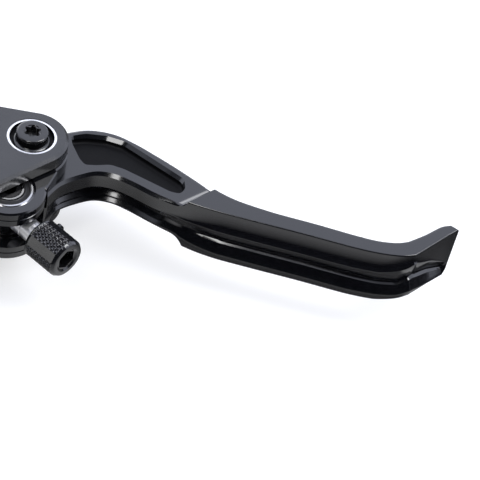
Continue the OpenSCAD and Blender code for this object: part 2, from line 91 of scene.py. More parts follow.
def setCamera():
    cam = bpy.data.cameras.new("studioCamera")
    cam.lens = view["lens"]
    cam.sensor_width = 36
    cam.clip_start = 0.05
    cam.clip_end = 20
    ob = bpy.data.objects.new("studioCamera", cam)
    bpy.context.scene.collection.objects.link(ob)
    az, el, roll = (math.radians(view[k]) for k in ("azimuth", "elevation", "roll"))
    right = Vector((math.cos(az), math.sin(az), 0))
    back = Vector((math.sin(az) * math.cos(el), -math.cos(az) * math.cos(el), math.sin(el)))
    up = back.cross(right)
    imageRight = math.cos(roll) * right + math.sin(roll) * up
    imageUp = -math.sin(roll) * right + math.cos(roll) * up
    place = Vector(view["aim"]) + back * view["distance"]
    turn = Matrix((imageRight, imageUp, back)).transposed().to_4x4()
    ob.matrix_world = Matrix.Translation(place) @ turn
    bpy.context.scene.camera = ob
    return back


towardsCamera = setCamera()
scene = bpy.context.scene
scene.view_settings.view_transform = "Standard"

studio = {
    "floorHalf": 1.6,  # metres
    "floorAt": (0.1, 0.05),
    "floorGap": 0.0004,  # below the lowest piece
    "floorColour": 0.82,  # as the rays that light things see it
    "floorGlow": 0.575,  # what the floor shows by itself to the camera
    "floorPaintedInGloss": 1.4,  # painted reflection: the floor shown brighter in a glossy surface beside the lever
    "floorPaint": 0.50,
    # the fade keys shape the painted reflection of the floor in gloss, dimming it away from the
    # blade
    "fadeAngle": 31,  # degrees, the blade's direction
    "fadeStart": 0.006,  # metres from the pivot, across the blade
    "fadeTip": 0.128,  # metres from the pivot, along the blade
    "fadeTipWeight": 6,  # how much faster it fades past the tip
    "fadeReach": 0.035,  # metres over which the painted reflection fades towards the dark room
    "fadePower": -1.5,
    "paintedShadeUnderLever": (0.004, 0.030),  # metres over which the floor under the lever darkens in gloss, a painted shadow
    "paintedShadeLeast": 0.1,
    "skyBright": (1.22, 1.28, 1.50),  # white wall and ceiling behind the object
    "roomDark": (0.003, 0.0035, 0.006),  # unlit room behind the camera
    "roomEdge": (0.18, 0.38),  # lean to the camera's side where one meets the other
    "lampDistance": 1.0,
    "lampAim": (0.1, 0.06, 0),
}

# degrees to the left of the camera seen from above, degrees up, size, power
softboxes = {
    "keySoftbox": (30, 56, (0.18, 0.50), 2.3),
    "sideSoftbox": (-92, 56, (0.36, 0.60), 5.4),
    "backSoftbox": (152, 19, (0.60, 0.50), 2.4),
    "leftSoftbox": (63, 8, (0.30, 0.14), 0.22),
}


def nodeTree(material):
    material.use_nodes = True
    tree = material.node_tree
    tree.nodes.clear()
    return tree


def addNode(tree, kind, **settings):
    node = tree.nodes.new(kind)
    for key, value in settings.items():
        setattr(node, key, value)
    return node


def rayMask(tree):
    # seen is 1 for camera, glossy and transmission rays, 0 for the rays that light things
    path = addNode(tree, "ShaderNodeLightPath")
    mirrored = addNode(tree, "ShaderNodeMath", operation="MAXIMUM")
    seen = addNode(tree, "ShaderNodeMath", operation="MAXIMUM")
    tree.links.new(path.outputs["Is Glossy Ray"], mirrored.inputs[0])
    tree.links.new(path.outputs["Is Transmission Ray"], mirrored.inputs[1])
    tree.links.new(path.outputs["Is Camera Ray"], seen.inputs[0])
    tree.links.new(mirrored.outputs[0], seen.inputs[1])
    return seen.outputs[0], path.outputs["Is Camera Ray"]


def paintedGlossFade(tree):
    # painted reflection and shadow: in gloss the floor dims away from the lever's line, towards
    # the camera and under the lever
    coord = addNode(tree, "ShaderNodeTexCoord")
    across = addNode(tree, "ShaderNodeVectorMath", operation="DOT_PRODUCT")
    a = math.radians(studio["fadeAngle"])
    across.inputs[1].default_value = (math.sin(a), -math.cos(a), 0)
    tree.links.new(coord.outputs["Object"], across.inputs[0])
    start = pivotAt.x * math.sin(a) - pivotAt.y * math.cos(a) + studio["fadeStart"]
    outward = addNode(tree, "ShaderNodeMath", operation="SUBTRACT")
    outward.inputs[1].default_value = start
    tree.links.new(across.outputs["Value"], outward.inputs[0])
    along = addNode(tree, "ShaderNodeVectorMath", operation="DOT_PRODUCT")
    along.inputs[1].default_value = (math.cos(a), math.sin(a), 0)
    tree.links.new(coord.outputs["Object"], along.inputs[0])
    past = addNode(tree, "ShaderNodeMath", operation="SUBTRACT")
    tip = pivotAt.x * math.cos(a) + pivotAt.y * math.sin(a) + studio["fadeTip"]
    past.inputs[1].default_value = tip
    tree.links.new(along.outputs["Value"], past.inputs[0])
    pair = addNode(tree, "ShaderNodeCombineXYZ")
    for source, axis, weight in ((outward, "X", 1), (past, "Y", studio["fadeTipWeight"])):
        positive = addNode(tree, "ShaderNodeMath", operation="MAXIMUM")
        positive.inputs[1].default_value = 0
        tree.links.new(source.outputs[0], positive.inputs[0])
        weighted = addNode(tree, "ShaderNodeMath", operation="MULTIPLY")
        weighted.inputs[1].default_value = weight
        tree.links.new(positive.outputs[0], weighted.inputs[0])
        tree.links.new(weighted.outputs[0], pair.inputs[axis])
    distance = addNode(tree, "ShaderNodeVectorMath", operation="LENGTH")
    tree.links.new(pair.outputs[0], distance.inputs[0])
    stretched = addNode(tree, "ShaderNodeMath", operation="MULTIPLY_ADD")
    stretched.inputs[1].default_value = 1 / studio["fadeReach"]
    stretched.inputs[2].default_value = 1
    tree.links.new(distance.outputs["Value"], stretched.inputs[0])
    power = addNode(tree, "ShaderNodeMath", operation="POWER")
    power.inputs[1].default_value = studio["fadePower"]
    tree.links.new(stretched.outputs[0], power.inputs[0])
    # painted shadow: the floor seen in gloss darkens right under the lever
    under = addNode(tree, "ShaderNodeMapRange", interpolation_type="SMOOTHSTEP")
    under.inputs["From Min"].default_value = studio["paintedShadeUnderLever"][0]
    under.inputs["From Max"].default_value = studio["paintedShadeUnderLever"][1]
    under.inputs["To Min"].default_value = studio["paintedShadeLeast"]
    under.inputs["To Max"].default_value = 1
    tree.links.new(distance.outputs["Value"], under.inputs["Value"])
    fade = addNode(tree, "ShaderNodeMath", operation="MULTIPLY")
    tree.links.new(power.outputs[0], fade.inputs[0])
    tree.links.new(under.outputs["Result"], fade.inputs[1])
    return fade.outputs[0]


def makeFloor():
    bm = bmesh.new()
    bmesh.ops.create_grid(bm, x_segments=1, y_segments=1, size=studio["floorHalf"])
    height = cadBox[0][2] - studio["floorGap"]
    bmesh.ops.translate(bm, verts=bm.verts, vec=(*studio["floorAt"], height))
    mesh = bpy.data.meshes.new("table")
    bm.to_mesh(mesh)
    bm.free()
    floor = bpy.data.objects.new("table", mesh)
    bpy.context.scene.collection.objects.link(floor)
    mat = bpy.data.materials.new("tableWhite")
    tree = nodeTree(mat)
    out = addNode(tree, "ShaderNodeOutputMaterial")
    mix = addNode(tree, "ShaderNodeMixShader")
    plain = addNode(tree, "ShaderNodeBsdfDiffuse")
    plain.inputs["Color"].default_value = (*[studio["floorColour"]] * 3, 1)
    seen, direct = rayMask(tree)
    # 1 to the camera, faded in gloss by the painted reflection and shadow
    level = addNode(tree, "ShaderNodeMix", data_type="FLOAT")
    level.inputs["B"].default_value = 1
    tree.links.new(direct, level.inputs["Factor"])
    tree.links.new(paintedGlossFade(tree), level.inputs["A"])
    shown = addNode(tree, "ShaderNodeMix", data_type="FLOAT")
    shown.inputs["A"].default_value = studio["floorPaintedInGloss"]
    shown.inputs["B"].default_value = studio["floorGlow"]
    tree.links.new(direct, shown.inputs["Factor"])
    strength = addNode(tree, "ShaderNodeMath", operation="MULTIPLY")
    tree.links.new(level.outputs["Result"], strength.inputs[0])
    tree.links.new(shown.outputs["Result"], strength.inputs[1])
    glow = addNode(tree, "ShaderNodeEmission")
    glow.inputs["Color"].default_value = (1, 1, 1, 1)
    tree.links.new(strength.outputs[0], glow.inputs["Strength"])
    tint = addNode(tree, "ShaderNodeMath", operation="MULTIPLY")
    tint.inputs[1].default_value = studio["floorPaint"]
    tree.links.new(level.outputs["Result"], tint.inputs[0])
    paint = addNode(tree, "ShaderNodeBsdfDiffuse")
    tree.links.new(tint.outputs[0], paint.inputs["Color"])
    both = addNode(tree, "ShaderNodeAddShader")
    tree.links.new(glow.outputs[0], both.inputs[0])
    tree.links.new(paint.outputs[0], both.inputs[1])
    tree.links.new(seen, mix.inputs[0])
    tree.links.new(plain.outputs[0], mix.inputs[1])
    tree.links.new(both.outputs[0], mix.inputs[2])
    tree.links.new(mix.outputs[0], out.inputs["Surface"])
    mesh.materials.append(mat)


def makeWorld():
    world = bpy.data.worlds.new("studioRoom")
    bpy.context.scene.world = world
    world.use_nodes = True
    tree = world.node_tree
    tree.nodes.clear()
    out = addNode(tree, "ShaderNodeOutputWorld")
    coord = addNode(tree, "ShaderNodeTexCoord")
    # how far a direction leans to the camera's side of the room
    flat = Vector((towardsCamera.x, towardsCamera.y, 0)).normalized()
    lean = addNode(tree, "ShaderNodeVectorMath", operation="DOT_PRODUCT")
    lean.inputs[1].default_value = (flat.x, flat.y, 0)
    tree.links.new(coord.outputs["Generated"], lean.inputs[0])
    edge = addNode(tree, "ShaderNodeMapRange", interpolation_type="SMOOTHSTEP")
    edge.inputs["From Min"].default_value = studio["roomEdge"][0]
    edge.inputs["From Max"].default_value = studio["roomEdge"][1]
    tree.links.new(lean.outputs["Value"], edge.inputs["Value"])
    mix = addNode(tree, "ShaderNodeMix", data_type="RGBA")
    mix.inputs["A"].default_value = (*studio["skyBright"], 1)
    mix.inputs["B"].default_value = (*studio["roomDark"], 1)
    tree.links.new(edge.outputs[0], mix.inputs["Factor"])
    room = addNode(tree, "ShaderNodeBackground")
    tree.links.new(mix.outputs["Result"], room.inputs["Color"])
    white = addNode(tree, "ShaderNodeBackground")
    white.inputs["Color"].default_value = (1, 1, 1, 1)
    path = addNode(tree, "ShaderNodeLightPath")
    pick = addNode(tree, "ShaderNodeMixShader")
    tree.links.new(path.outputs["Is Camera Ray"], pick.inputs[0])
    tree.links.new(room.outputs[0], pick.inputs[1])
    tree.links.new(white.outputs[0], pick.inputs[2])
    tree.links.new(pick.outputs[0], out.inputs["Surface"])


def addSoftbox(name, side, elevation, size, power):
    lamp = bpy.data.lights.new(name, "AREA")
    lamp.shape = "RECTANGLE"
    lamp.size, lamp.size_y = size
    lamp.energy = power
    ob = bpy.data.objects.new(name, lamp)
    bpy.context.scene.collection.objects.link(ob)
    base = math.atan2(towardsCamera.y, towardsCamera.x) - math.radians(side)
    el = math.radians(elevation)
    way = Vector((math.cos(base) * math.cos(el), math.sin(base) * math.cos(el), math.sin(el)))
    ob.location = Vector(studio["lampAim"]) + way * studio["lampDistance"]
    ob.rotation_euler = way.to_track_quat("Z", "Y").to_euler()


makeFloor()
makeWorld()
for name, settings in softboxes.items():
    addSoftbox(name, *settings)
print("clutch lever: camera, table and lights set")


# finishes
def principled(name, colour, metallic, roughness, ior=1.5):
    mat = bpy.data.materials.new(name)
    tree = nodeTree(mat)
    out = addNode(tree, "ShaderNodeOutputMaterial")
    shader = addNode(tree, "ShaderNodeBsdfPrincipled")
    shader.inputs["Base Color"].default_value = (*colour, 1)
    shader.inputs["Metallic"].default_value = metallic
    shader.inputs["Roughness"].default_value = roughness
    shader.inputs["IOR"].default_value = ior
    tree.links.new(shader.outputs[0], out.inputs["Surface"])
    return mat, tree, shader


def grain(tree, scale, stretch=(1, 1, 1), detail=3.0):
    # noise on the piece's own coordinates, in lumps per metre
    coord = addNode(tree, "ShaderNodeTexCoord")
    mapping = addNode(tree, "ShaderNodeMapping")
    mapping.inputs["Scale"].default_value = stretch
    noise = addNode(tree, "ShaderNodeTexNoise")
    noise.inputs["Scale"].default_value = scale
    noise.inputs["Detail"].default_value = detail
    tree.links.new(coord.outputs["Object"], mapping.inputs["Vector"])
    tree.links.new(mapping.outputs["Vector"], noise.inputs["Vector"])
    return noise.outputs["Fac"]


def spread(tree, value, low, high):
    fit = addNode(tree, "ShaderNodeMapRange")
    fit.inputs["From Min"].default_value = 0.3
    fit.inputs["From Max"].default_value = 0.7
    fit.inputs["To Min"].default_value = low
    fit.inputs["To Max"].default_value = high
    tree.links.new(value, fit.inputs["Value"])
    return fit.outputs["Result"]


def bumpFrom(tree, shader, value, distance):
    bump = addNode(tree, "ShaderNodeBump")
    bump.inputs["Distance"].default_value = distance
    bump.inputs["Strength"].default_value = 1.0
    tree.links.new(value, bump.inputs["Height"])
    tree.links.new(bump.outputs["Normal"], shader.inputs["Normal"])


def anodised(name, tint, low, high, grainSize=9000, depth=0.0000012, ior=1.7):
    # black anodised aluminium: dyed oxide over fine milling, with slight patches of sheen
    mat, tree, shader = principled(name, tint, 0.0, (low + high) / 2, ior)
    patches = grain(tree, 160, detail=4)
    tree.links.new(spread(tree, patches, low, high), shader.inputs["Roughness"])
    bumpFrom(tree, shader, grain(tree, grainSize, detail=2), depth)
    tone = addNode(tree, "ShaderNodeMix", data_type="RGBA")
    tone.inputs["A"].default_value = (*tint, 1)
    tone.inputs["B"].default_value = (*[c * 1.9 for c in tint], 1)
    tree.links.new(grain(tree, 420, detail=5), tone.inputs["Factor"])
    tree.links.new(tone.outputs["Result"], shader.inputs["Base Color"])
    return mat


def metal(name, tint, low, high, stretch=(1, 1, 1), scale=2500, depth=0.000001):
    mat, tree, shader = principled(name, tint, 1.0, (low + high) / 2)
    lines = grain(tree, scale, stretch, detail=4)
    tree.links.new(spread(tree, lines, low, high), shader.inputs["Roughness"])
    bumpFrom(tree, shader, lines, depth)
    return mat


def rubber(name, tint, roughness):
    mat, tree, shader = principled(name, tint, 0.0, roughness, 1.5)
    fine = grain(tree, 5200, detail=3)
    varied = spread(tree, fine, roughness - 0.08, roughness + 0.08)
    tree.links.new(varied, shader.inputs["Roughness"])
    bumpFrom(tree, shader, fine, 0.000004)
    return mat


finishes = {
    "black_anodised": anodised("perchAnodised", (0.0042, 0.0045, 0.0055), 0.20, 0.27),
    "black_anodised_lever": anodised("leverAnodised", (0.0030, 0.0032, 0.0040), 0.10, 0.15),
    "stainless": metal("polishedStainless", (0.62, 0.60, 0.57), 0.10, 0.18, (1, 9, 9)),
    "black_steel": anodised("blackOxide", (0.004, 0.004, 0.0045), 0.16, 0.24),
    "bronze": metal("sinteredBronze", (0.50, 0.33, 0.16), 0.35, 0.5, scale=6000, depth=0.000004),
    "bearing_steel": metal("groundBearingSteel", (0.58, 0.58, 0.59), 0.14, 0.22, (1, 1, 8)),
    "black_rubber": rubber("sealRubber", (0.012, 0.012, 0.013), 0.45),
    "seal_rubber": rubber("wiperRubber", (0.016, 0.016, 0.016), 0.6),
    "knob_black": anodised("knobAnodised", (0.0045, 0.0048, 0.0055), 0.11, 0.17),
    "gold_anodised": metal("goldAnodised", (0.55, 0.36, 0.10), 0.2, 0.3, (8, 1, 1)),
    "spring_steel": metal("drawnSpringSteel", (0.36, 0.36, 0.37), 0.2, 0.32),
}
bareAluminium = metal("turnedAluminium", (0.90, 0.90, 0.91), 0.30, 0.42, (1, 1, 5))
# floors of the pockets and the screw recess: rougher milled anodising, with a darker tint and a
# weak reflection painted in as shade in the hollow
milledFloorPaintedShade = anodised("milledPocketPaintedShade", (0.0024, 0.0024, 0.0028), 0.34, 0.42, 5200, 0.000002, 1.18)

slotOf = {s["node"]: s["material_slot"] for s in frame["record"]["subparts"]}
for name, node in nodes.items():
    node.data.materials.clear()
    node.data.materials.append(finishes[slotOf[name]])
print("clutch lever: finishes made")


# mesh helpers: lengths in millimetres, places in the part's frame

def cleanBmesh(bm):
    bmesh.ops.remove_doubles(bm, verts=bm.verts, dist=0.0000008)
    bmesh.ops.recalc_face_normals(bm, faces=bm.faces)
    return bm


def toObject(name, bm, *materials):
    cleanBmesh(bm)
    mesh = bpy.data.meshes.new(name)
    bm.to_mesh(mesh)
    bm.free()
    for mat in materials:
        mesh.materials.append(mat)
    ob = bpy.data.objects.new(name, mesh)
    bpy.context.scene.collection.objects.link(ob)
    return ob


def bake(ob):
    # applies what modifiers stand on the piece
    bpy.context.view_layer.update()
    seen = ob.evaluated_get(bpy.context.evaluated_depsgraph_get())
    mesh = bpy.data.meshes.new_from_object(seen)
    ob.modifiers.clear()
    old = ob.data
    ob.data = mesh
    bpy.data.meshes.remove(old)
    return ob


def combine(ob, tool, operation):
    step = ob.modifiers.new("join", "BOOLEAN")
    step.operation = operation
    step.solver = "EXACT"
    step.material_mode = "TRANSFER"
    step.object = tool
    bake(ob)
    bpy.data.objects.remove(tool)
    return ob


def join(ob, *tools):
    for tool in tools:
        combine(ob, tool, "UNION")
    return ob


def cut(ob, *tools):
    for tool in tools:
        combine(ob, tool, "DIFFERENCE")
    return ob


def shade(ob, angle=20):
    # crisp edges above the angle, flat faces kept flat beside small roundings
    bm = bmesh.new()
    bm.from_mesh(ob.data)
    bmesh.ops.remove_doubles(bm, verts=bm.verts, dist=0.000004)
    bmesh.ops.dissolve_degenerate(bm, edges=bm.edges, dist=0.000002)
    bm.to_mesh(ob.data)
    bm.free()
    ob.data.shade_smooth()
    ob.data.set_sharp_from_angle(angle=math.radians(angle))
    weigh = ob.modifiers.new("flatFaces", "WEIGHTED_NORMAL")
    weigh.mode = "FACE_AREA"
    weigh.keep_sharp = True
    return ob


def finishPiece(ob, body, slot, *replaced):
    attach(ob, body)
    if replaced:
        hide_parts(*replaced)
    print("clutch lever:", ob.name, "made,", len(ob.data.polygons), "faces")
    return ob


def lay(bm, at, axis):
    # from standing on z to the named axis, then to its place
    if axis == "x":
        bmesh.ops.rotate(bm, verts=bm.verts, matrix=Matrix.Rotation(math.radians(90), 3, "Y"))
    elif axis == "y":
        bmesh.ops.rotate(bm, verts=bm.verts, matrix=Matrix.Rotation(math.radians(-90), 3, "X"))
    bmesh.ops.translate(bm, verts=bm.verts, vec=[c * mm for c in at])


def turned(name, profile, at, *materials, axis="z", steps=96, ring=False, bright=None):
    # a turned shape from radius and height pairs
    # bright gives the heights and radii between which it has its second finish
    bm = bmesh.new()
    verts = [bm.verts.new((r * mm, 0, h * mm)) for r, h in profile]
    pairs = list(zip(verts, verts[1:])) + ([(verts[-1], verts[0])] if ring else [])
    edges = [bm.edges.new(pair) for pair in pairs]
    bmesh.ops.spin(bm, geom=verts + edges, cent=(0, 0, 0), axis=(0, 0, 1), dvec=(0, 0, 0),
                   angle=math.tau, steps=steps, use_merge=True)
    cleanBmesh(bm)
    if bright:
        low, high, inner, outer = [v * mm for v in bright]
        for face in bm.faces:
            c = face.calc_center_median()
            r = math.hypot(c.x, c.y)
            if low < c.z < high and inner < r < outer:
                face.material_index = 1
    lay(bm, at, axis)
    return toObject(name, bm, *materials)


def rod(radius, low, high, at, axis="z", edge=0, steps=96, *materials):
    profile = [(0, low), (radius - edge, low)] + ([(radius, low + edge)] if edge else [])
    profile += ([(radius, high - edge)] if edge else []) + [(radius - edge, high), (0, high)]
    return turned("tool", profile, at, *materials, axis=axis, steps=steps)


def prism(points, low, high, *materials, edge=0, at=(0, 0, 0), axis="z",
          name="tool"):
    bm = bmesh.new()
    ring = [bm.verts.new((x * mm, y * mm, low * mm)) for x, y in points]
    face = bm.faces.new(ring)
    grown = bmesh.ops.extrude_face_region(bm, geom=[face])
    top = [v for v in grown["geom"] if isinstance(v, bmesh.types.BMVert)]
    bmesh.ops.translate(bm, verts=top, vec=(0, 0, (high - low) * mm))
    cleanBmesh(bm)
    if edge:
        rims = [e for e in bm.edges if abs(e.verts[0].co.z - e.verts[1].co.z) < 1e-7]
        bmesh.ops.bevel(bm, geom=rims, offset=edge * mm, offset_type="OFFSET", affect="EDGES",
                        segments=1, profile=0.5, material=-1, clamp_overlap=True)
    lay(bm, at, axis)
    return toObject(name, bm, *materials)


def block(low, high, *materials, edge=0):
    bm = bmesh.new()
    bmesh.ops.create_cube(bm, size=1)
    size = [(h - l) * mm for l, h in zip(low, high)]
    bmesh.ops.scale(bm, verts=bm.verts, vec=size)
    bmesh.ops.translate(bm, verts=bm.verts, vec=[(h + l) / 2 * mm for l, h in zip(low, high)])
    if edge:
        bmesh.ops.bevel(bm, geom=bm.edges[:], offset=edge * mm, offset_type="OFFSET",
                        affect="EDGES", segments=2, profile=0.5, material=-1)
    return toObject("tool", bm, *materials)


def arcPoints(cx, cy, r, start, end, count):
    return [(cx + r * math.cos(math.radians(start + (end - start) * n / count)),
             cy + r * math.sin(math.radians(start + (end - start) * n / count)))
            for n in range(count + 1)]


def closedLoop(bm, places):
    # a ring of edges through places in metres
    verts = [bm.verts.new(place) for place in places]
    return [bm.edges.new((verts[n], verts[(n + 1) % len(verts)])) for n in range(len(verts))]


def bridgeLoops(bm, loops):
    for first, second in zip(loops, loops[1:]):
        bmesh.ops.bridge_loops(bm, edges=first + second)
    bmesh.ops.contextual_create(bm, geom=loops[0])
    bmesh.ops.contextual_create(bm, geom=loops[-1])


def roundedOutline(points, reach, steps=4):
    # each corner becomes a short curve
    out = []
    n = len(points)
    for i in range(n):
        a, b, c = (Vector(points[(i + j) % n]) for j in (-1, 0, 1))
        p = b + (a - b).normalized() * reach
        q = b + (c - b).normalized() * reach
        for k in range(steps + 1):
            t = k / steps
            out.append(tuple(p * (1 - t) ** 2 + b * 2 * t * (1 - t) + q * t * t))
    return out


# lever: one lofted bar, forked hub, milled pockets

leverValues = {
    "bladeAngle": 31,
    "half": 9.8,
    "armHalf": 7.0,
    "stepRadius": 4.4,
    "stepsBetween": 6,
    "backFillet": 1.2,
    "endLean": 0.17,  # the end slants back towards its foot
    "leanWay": (0.56, 0.83),  # along and across the blade
    "edgeDrop": 0.84,  # fall of the front chamfer for each mm of its width
    "channelDepth": 3.7,
    "grooveDepth": 1.95,
    "hubRadius": 11.5,
    "earRadius": 11.7,
    "forkHalf": 4.7,
    "bearingSeat": 16.0,
    "pocketDepth": 2.4,
    "pocketFillet": 1.15,
    "pocketChamfer": 0.9,  # depth
    "pocketCorner": 1.1,
    "ledge": ((0.3, 0.35), (0.65, 0.55), (0.95, 0.72)),  # out of and below the groove's foot
    "ridge": (1.25, -4.15),  # where the arm's two milled facets meet
    "pivotHole": 6,
    "hubFace": (8.6, 8.8),  # radius and height of the seat for the bush flange
    "forkSlot": 9.4,
}

# each row: front x y, back x y, bottom, edge size, edge roundness, lip reach, lip height,
# channel share, groove share, deep height, lower lip reach and height, foot reach
leverStations = [
    [9.8, -14.5, 1, 10, -7, 1.1, 0, 0, 1.7, 1, 0, -3.1, 1.2, -5.4, 1.2],
    [12.3, -8.4, 7, 13.8, -7, 1.1, 0, 0, 1.7, 1, 0, -3.1, 1.2, -5.4, 1.2],
    [17, -3.4, 13.8, 17.8, -7, 1.1, 0, 0, 1.7, 1, 0, -3.1, 1.2, -5.4, 1.2],
    [21.5, -0.2, 21.3, 19, -7, 1.1, 0, 0, 1.7, 1, 0, -3.1, 1.2, -5.4, 1.2],
    [27, 0.5, 28, 17.7, -7, 1.1, 0, 0, 1.7, 1, 0, -3.1, 1.2, -5.4, 1.2],
    [33, -0.7, 36, 14.8, -7, 1.1, 0, 0, 1.7, 0.95, 0, -3.0, 1, -5.4, 1],
    [40.5, -3, 45.5, 10.8, -7, 1.1, 0, 0, 1.7, 0.8, 0, -2.8, 0.8, -5.3, 0.8],
    [47, -4.2, 55.2, 6.1, -7, 1, 0.3, -0.2, 2, 0.5, 0.05, -2.3, 0.2, -5.2, 0.2],
    [51.6, -5, 58.4, 3.8, -9.8, 0.7, 0.8, -0.6, 2.4, 0.3, 0.45, -2.1, -0.8, -5.3, -0.3],
    [57, -5.5, 62, 2.5, -9.8, 0.5, 1, -1.2, 2.9, 0.12, 0.85, -2.1, -1.7, -5.6, -0.8],
    [64, -5.8, 67.5, 1.3, -9.8, 0.5, 1, -1.75, 3.2, 0, 1, -2, -2.4, -5.8, -1.2],
    [76, -5.85, 78, 0.4, -9.8, 0.5, 1, -1.75, 3.2, 0, 1, -2, -2.4, -5.8, -1.2],
    [90, -5.85, 91, 0.2, -9.8, 0.5, 1, -1.75, 3.2, 0, 1, -2, -2.4, -5.8, -1.2],
    [104, -6.1, 103.5, -0.3, -9.8, 0.5, 1, -1.75, 3.3, 0, 1, -2, -2.4, -5.8, -1.2],
    [112.5, -5.7, 110.5, -0.2, -9.6, 0.5, 1, -1.75, 3.6, 0, 1, -2.1, -2.3, -5.6, -1.2],
    [118.6, -4.6, 115.5, 0.8, -8.6, 0.5, 1, -1.6, 5.1, 0, 1, -1.8, -2, -5.2, -1],
    [122.2, -3.1, 118.6, 2.2, -7.4, 0.5, 1, -1, 6.7, 0, 1, -0.5, -1.6, -4.2, -0.9],
    [123.6, -1.7, 120.4, 3.7, -7.2, 0.5, 1, -0.6, 6.7, 0, 1, -0.7, -1.4, -4.4, -0.8],
    [127.4, 4, 124, 7.6, -7.5, 0.5, 1, -0.2, 3, 0, 0.9, -3, -1, -6, -0.6],
    [131, 9.4, 127.6, 12.2, -8.3, 0.5, 1, 0, -2, 0, 0.5, -5.5, -0.5, -7.3, -0.3],
    [133.5, 12.8, 130.2, 13.9, -5.9, 0.5, 1, 0, -3.6, 0, 0, -4.4, 0, -5, 0],
]
stepStation = 7

pocketCorners = [
    (10.8, 10), (10.1, 12.4), (14, 14.5), (20, 15.8), (26, 15.5), (33, 12.4), (42, 8.4),
    (47, 6.2), (49, 3), (48, 0.4), (45, 0.2), (36.6, 2.6), (29, 4.7), (24.5, 5.1),
    (20.6, 3.4), (17, 2.3), (14.7, 4.4),
]
pocketRim = {1: (9.8, 13.1), 2: (13.7, 15.6), 3: (20.1, 16.9), 4: (26.5, 16.5), 5: (33.5, 13.4),
             6: (42.4, 9.4), 7: (47.6, 7)}  # the same corners where the far chamfer meets the top


def catmull(a, b, c, d, t):
    return 0.5 * (2 * b + (c - a) * t + (2 * a - 5 * b + 4 * c - d) * t * t
                  + (3 * b - a - 3 * c + d) * t * t * t)


def stationValue(i, t, k, smooth):
    last = len(leverStations) - 1
    row = [leverStations[min(max(i + j, 0), last)][k] for j in (-1, 0, 1, 2)]
    return catmull(*row, t) if smooth else row[1] * (1 - t) + row[2] * t


def stepHeight(t):
    v = leverValues
    r = v["stepRadius"]
    rise = v["half"] - v["armHalf"]
    run = math.sqrt(r * r - (r - rise) ** 2)
    return v["armHalf"] + r - math.sqrt(r * r - (t * run) ** 2)


def curveAt(a, b, c, t):
    return tuple(p * (1 - t) ** 2 + q * 2 * t * (1 - t) + s * t * t for p, q, s in zip(a, b, c))


def frontCorner(edge, soft, angle):
    # flat chamfer at softness 0, round at 1
    s = angle / 90
    a = math.radians(angle)
    return (edge * ((1 - s) * (1 - soft) + (1 - math.sin(a)) * soft),
            edge * (s * (1 - soft) + (1 - math.cos(a)) * soft))


def leverSection(w, top, bottom, edge, soft, lip, lipZ, channel, groove, deepZ, low, lowZ, foot):
    # distance behind the front line and height of each corner, once round
    v = leverValues
    back = v["backFillet"]
    drop = v["edgeDrop"]
    deep = lip + v["channelDepth"] * channel + v["grooveDepth"] * groove
    fine = range(0, 91, 15)
    pts = []
    for angle in fine:  # back top fillet
        a = math.radians(angle)
        pts.append((w - back + back * math.cos(a), top - back + back * math.sin(a)))
    for angle in fine:
        p, q = frontCorner(edge, soft, angle)
        pts.append((p, top - q * drop))
    a, b = (0, top - edge * drop), (lip, lipZ)
    pts += [curveAt(a, (0, lipZ - 1.04 * lip), b, n / 8) for n in range(1, 9)]  # cove to the lip
    c = (lip - 0.1 * groove, lipZ - 0.25 - 0.25 * groove)
    pts += [(lip - 0.15 * groove, lipZ - 0.12 - 0.08 * groove), c]
    d = (deep, deepZ)
    bend = (deep * (1 - groove) + (c[0] + (deep - c[0]) * 0.55) * groove,
            deepZ + 0.75 + 1.5 * groove)
    pts += [curveAt(c, bend, d, n / 7) for n in range(1, 8)]
    e = (low, lowZ)
    # a small ledge, then straight out to the lower lip
    bladeWall = [(deep - p * groove, deepZ - q * groove) for p, q in v["ledge"]]
    start = bladeWall[-1]
    bladeWall += [tuple(start[k] + (e[k] - start[k]) * n / 3 for k in (0, 1)) for n in (1, 2, 3)]
    ridge = (low + v["ridge"][0], v["ridge"][1])
    armWall = [tuple(d[k] + (ridge[k] - d[k]) * n / 3 for k in (0, 1)) for n in (1, 2, 3)]
    armWall += [(low + 1.0, -4.6), (low + 0.5, (lowZ - 4.6) / 2), e]
    share = 1 - min(1, channel * 1.25)
    pts += [tuple(m * share + n * (1 - share) for m, n in zip(one, two))
            for one, two in zip(bladeWall, armWall)]
    f = (low - 0.1 * groove, lowZ - 0.15 - 0.25 * groove)
    pts += [(low - 0.12 * groove, lowZ - 0.08 - 0.12 * groove), f]
    g = (foot, bottom + edge * drop)
    middle = (foot, f[1] + 1.04 * min(0, low - foot))
    pts += [curveAt(f, middle, g, n / 5) for n in range(1, 5)]
    for angle in reversed(fine):
        p, q = frontCorner(edge, soft, angle)
        pts.append((foot + p, bottom + q * drop))
    for angle in reversed(fine):
        a = math.radians(angle)
        pts.append((w - back + back * math.cos(a), bottom + back - back * math.sin(a)))
    return pts


def leverRing(i, t):
    v = leverValues
    last = len(leverStations) - 1
    front = Vector((stationValue(i, t, 0, True), stationValue(i, t, 1, True)))
    back = Vector((stationValue(i, t, 2, True), stationValue(i, t, 3, True)))
    top = v["armHalf"] if i < stepStation else stepHeight(t) if i == stepStation else v["half"]
    if i == last:
        top -= 0.4
    bottom = -stepHeight(t) if i == stepStation else stationValue(i, t, 4, False)
    rest = [stationValue(i, t, k, False) for k in range(5, 15)]
    along = back - front
    w = along.length
    along.normalize()
    lean = v["endLean"] * (1 if i == last else t if i == last - 1 else 0)
    leanX, leanY = (way * lean for way in v["leanWay"])
    return [(front.x + along.x * p - leanX * (top - z),
             front.y + along.y * p - leanY * (top - z), z)
            for p, z in leverSection(w, top, bottom, *rest)]


def toPart(x, y):
    a = math.radians(leverValues["bladeAngle"])
    return (pivotAt.x / mm + x * math.cos(a) - y * math.sin(a),
            pivotAt.y / mm + x * math.sin(a) + y * math.cos(a))


